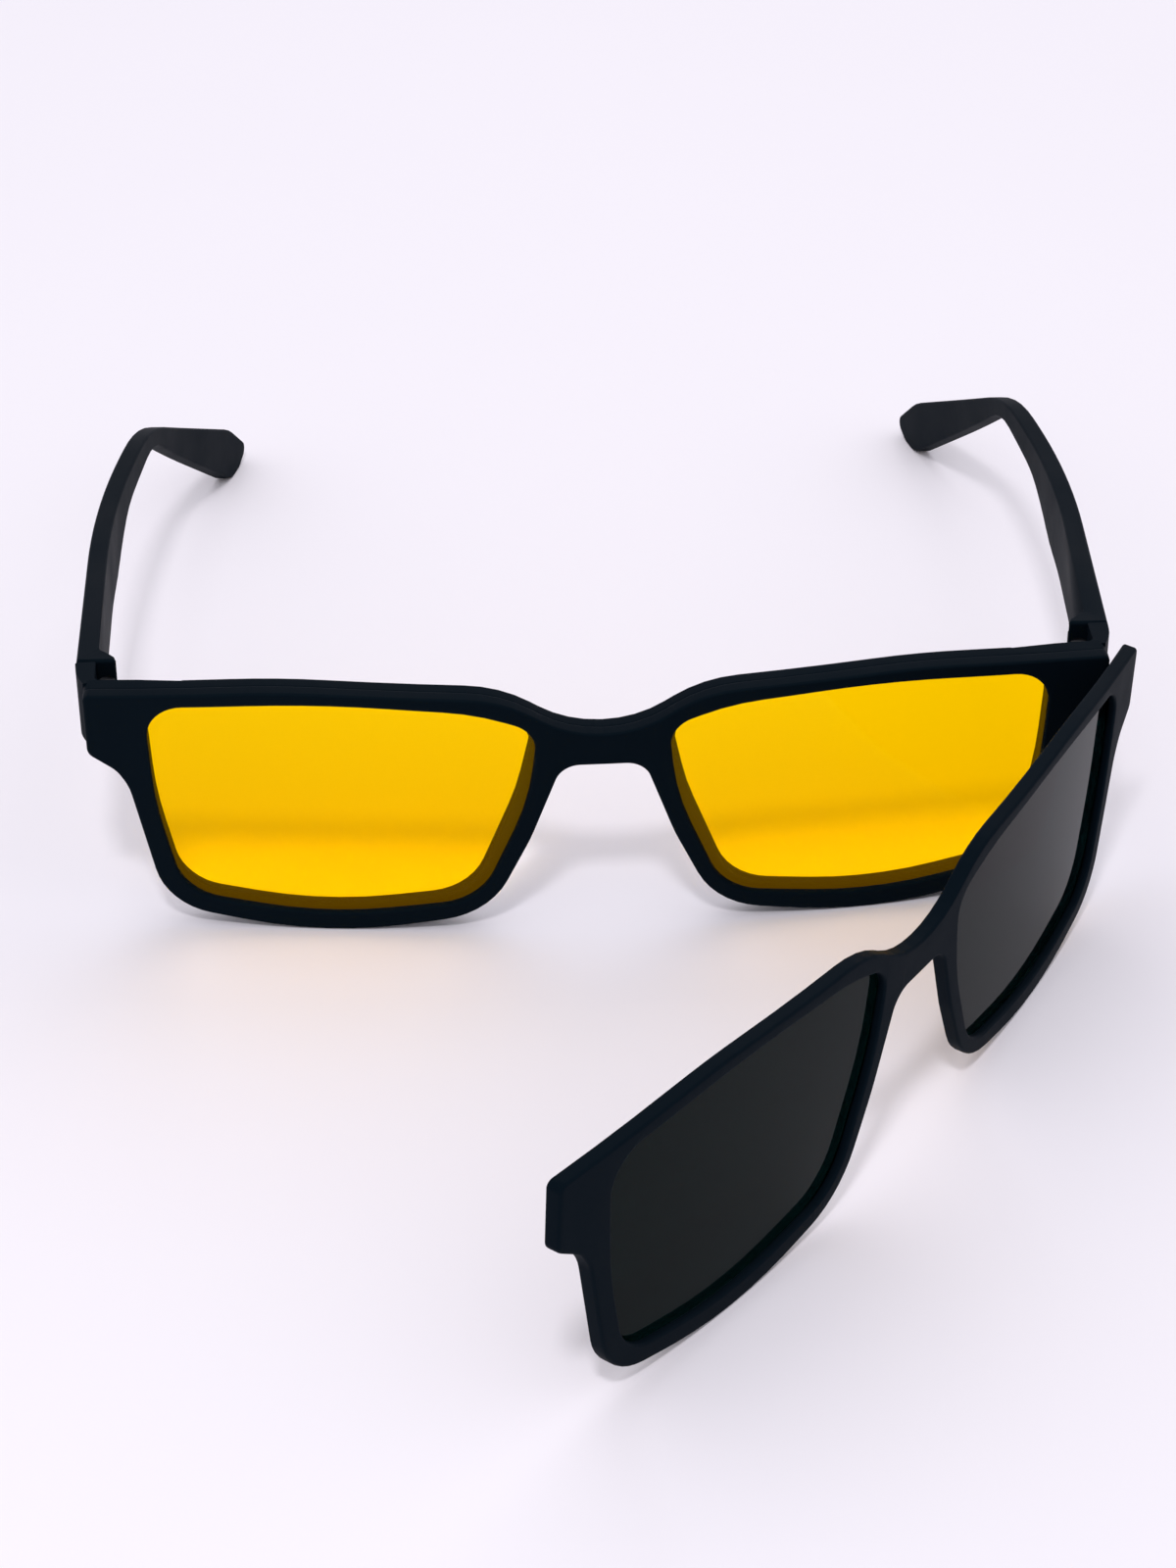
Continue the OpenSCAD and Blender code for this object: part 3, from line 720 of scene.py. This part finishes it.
class EYEGLASSES_OT_stage(bpy.types.Operator):
    """Lay the pale floor, hang the lamps and place the camera"""

    bl_idname = "eyeglasses.stage"
    bl_label = "Set the stage"

    def execute(self, context):
        settings = context.scene.eyeglasses_stage
        self.lay_floor(context, settings)
        self.light_dome(context, settings)
        self.hang_lamp(context, "Overhead lamp", settings.overhead, OVERHEAD_PLACE, OVERHEAD_SIZE)
        self.hang_lamp(context, "Key lamp", settings.key, KEY_PLACE, KEY_SIZE)
        self.place_camera(context, settings)
        return {"FINISHED"}

    def lay_floor(self, context, settings):
        """A plain floor at the table's height."""
        bm = bmesh.new()
        bmesh.ops.create_grid(bm, x_segments=1, y_segments=1, size=FLOOR_REACH)
        mesh = mesh_of(bm, "floor")
        mesh.materials.append(pale_floor("Pale floor", settings))
        floor = bpy.data.objects.new("floor", mesh)
        context.scene.collection.objects.link(floor)

    def light_dome(self, context, settings):
        """A plain dome that lights the object, and is the backdrop that shows past the floor."""
        world = bpy.data.worlds.new("Studio")
        context.scene.world = world
        world.use_nodes = True
        tree = world.node_tree
        tree.nodes.clear()
        output = add_node(tree, "ShaderNodeOutputWorld", (600, 0))
        light = add_node(tree, "ShaderNodeBackground", (0, 100), {"Strength": settings.dome})
        light.inputs["Color"].default_value = DOME_TINT
        shown = add_node(tree, "ShaderNodeBackground", (0, -100), {"Strength": 1.0})
        shown.inputs["Color"].default_value = (*settings.backdrop, 1.0)
        path = add_node(tree, "ShaderNodeLightPath", (-600, 300))
        seen = path.outputs["Is Camera Ray"]
        for ray in ("Is Glossy Ray", "Is Transmission Ray"):
            either = add_node(tree, "ShaderNodeMath", (-300, 300), operation="MAXIMUM")
            tree.links.new(seen, either.inputs[0])
            tree.links.new(path.outputs[ray], either.inputs[1])
            seen = either.outputs[0]
        mix = add_node(tree, "ShaderNodeMixShader", (300, 0))
        tree.links.new(seen, mix.inputs[0])
        tree.links.new(light.outputs[0], mix.inputs[1])
        tree.links.new(shown.outputs[0], mix.inputs[2])
        tree.links.new(mix.outputs[0], output.inputs["Surface"])

    def hang_lamp(self, context, name, power, place, size):
        """A square lamp that points at the middle of the object, and that no lens shades."""
        lamp = bpy.data.lights.new(name, "AREA")
        lamp.energy = power
        lamp.size = size
        holder = bpy.data.objects.new(name, lamp)
        holder.location = place
        holder.rotation_euler = (-Vector(place)).to_track_quat("-Z", "Y").to_euler()
        context.scene.collection.objects.link(holder)
        blockers = bpy.data.collections.new(f"{name} blockers")
        for lens in LENSES:
            if lens in bpy.data.objects:
                blockers.objects.link(bpy.data.objects[lens])
        for entry in blockers.collection_objects:
            entry.light_linking.link_state = "EXCLUDE"
        holder.light_linking.blocker_collection = blockers
        holder.visible_transmission = False

    def place_camera(self, context, settings):
        """The camera at the photograph's angle."""
        camera = bpy.data.cameras.new("Camera")
        camera.sensor_fit = "AUTO"
        camera.sensor_width = FILM_WIDTH
        camera.lens = settings.camera_lens
        camera.clip_start = NEAREST_SEEN
        holder = bpy.data.objects.new("Camera", camera)
        holder.location = settings.camera_place
        holder.rotation_euler = Euler(settings.camera_turn, "XYZ")
        context.scene.collection.objects.link(holder)
        context.scene.camera = holder
        context.scene.view_settings.view_transform = "Standard"


class EYEGLASSES_PT_panel(bpy.types.Panel):
    """Sizes, finishes and steps of the eyeglasses"""

    bl_idname = "EYEGLASSES_PT_panel"
    bl_label = "Square eyeglasses"
    bl_space_type = "VIEW_3D"
    bl_region_type = "UI"
    bl_category = "Eyeglasses"

    def draw(self, context):
        scene = context.scene
        for label, settings, step in (
            ("Mouldings", scene.eyeglasses_mouldings, "eyeglasses.mouldings"),
            ("Lenses", scene.eyeglasses_lenses, "eyeglasses.lenses"),
            ("Hinges and magnets", scene.eyeglasses_metal, "eyeglasses.fittings"),
            ("Stage", scene.eyeglasses_stage, "eyeglasses.stage"),
        ):
            box = self.layout.box()
            box.label(text=label)
            for name in settings.__annotations__:
                box.prop(settings, name)
            box.operator(step)


SETTINGS = {
    "eyeglasses_mouldings": MouldingSettings,
    "eyeglasses_lenses": LensSettings,
    "eyeglasses_metal": MetalSettings,
    "eyeglasses_stage": StageSettings,
}
CLASSES = (
    *SETTINGS.values(),
    EYEGLASSES_OT_mouldings,
    EYEGLASSES_OT_lenses,
    EYEGLASSES_OT_fittings,
    EYEGLASSES_OT_stage,
    EYEGLASSES_PT_panel,
)


def register():
    """Registers the classes and hangs their settings on the scene."""
    for cls in CLASSES:
        bpy.utils.register_class(cls)
    for name, cls in SETTINGS.items():
        setattr(bpy.types.Scene, name, PointerProperty(type=cls))


def unregister():
    """Takes away what register made."""
    for name in SETTINGS:
        delattr(bpy.types.Scene, name)
    for cls in reversed(CLASSES):
        bpy.utils.unregister_class(cls)


def main():
    """Builds the eyeglasses and the stage."""
    register()
    bpy.ops.eyeglasses.mouldings()
    bpy.ops.eyeglasses.lenses()
    bpy.ops.eyeglasses.fittings()
    bpy.ops.eyeglasses.stage()


if __name__ == "__main__":
    main()
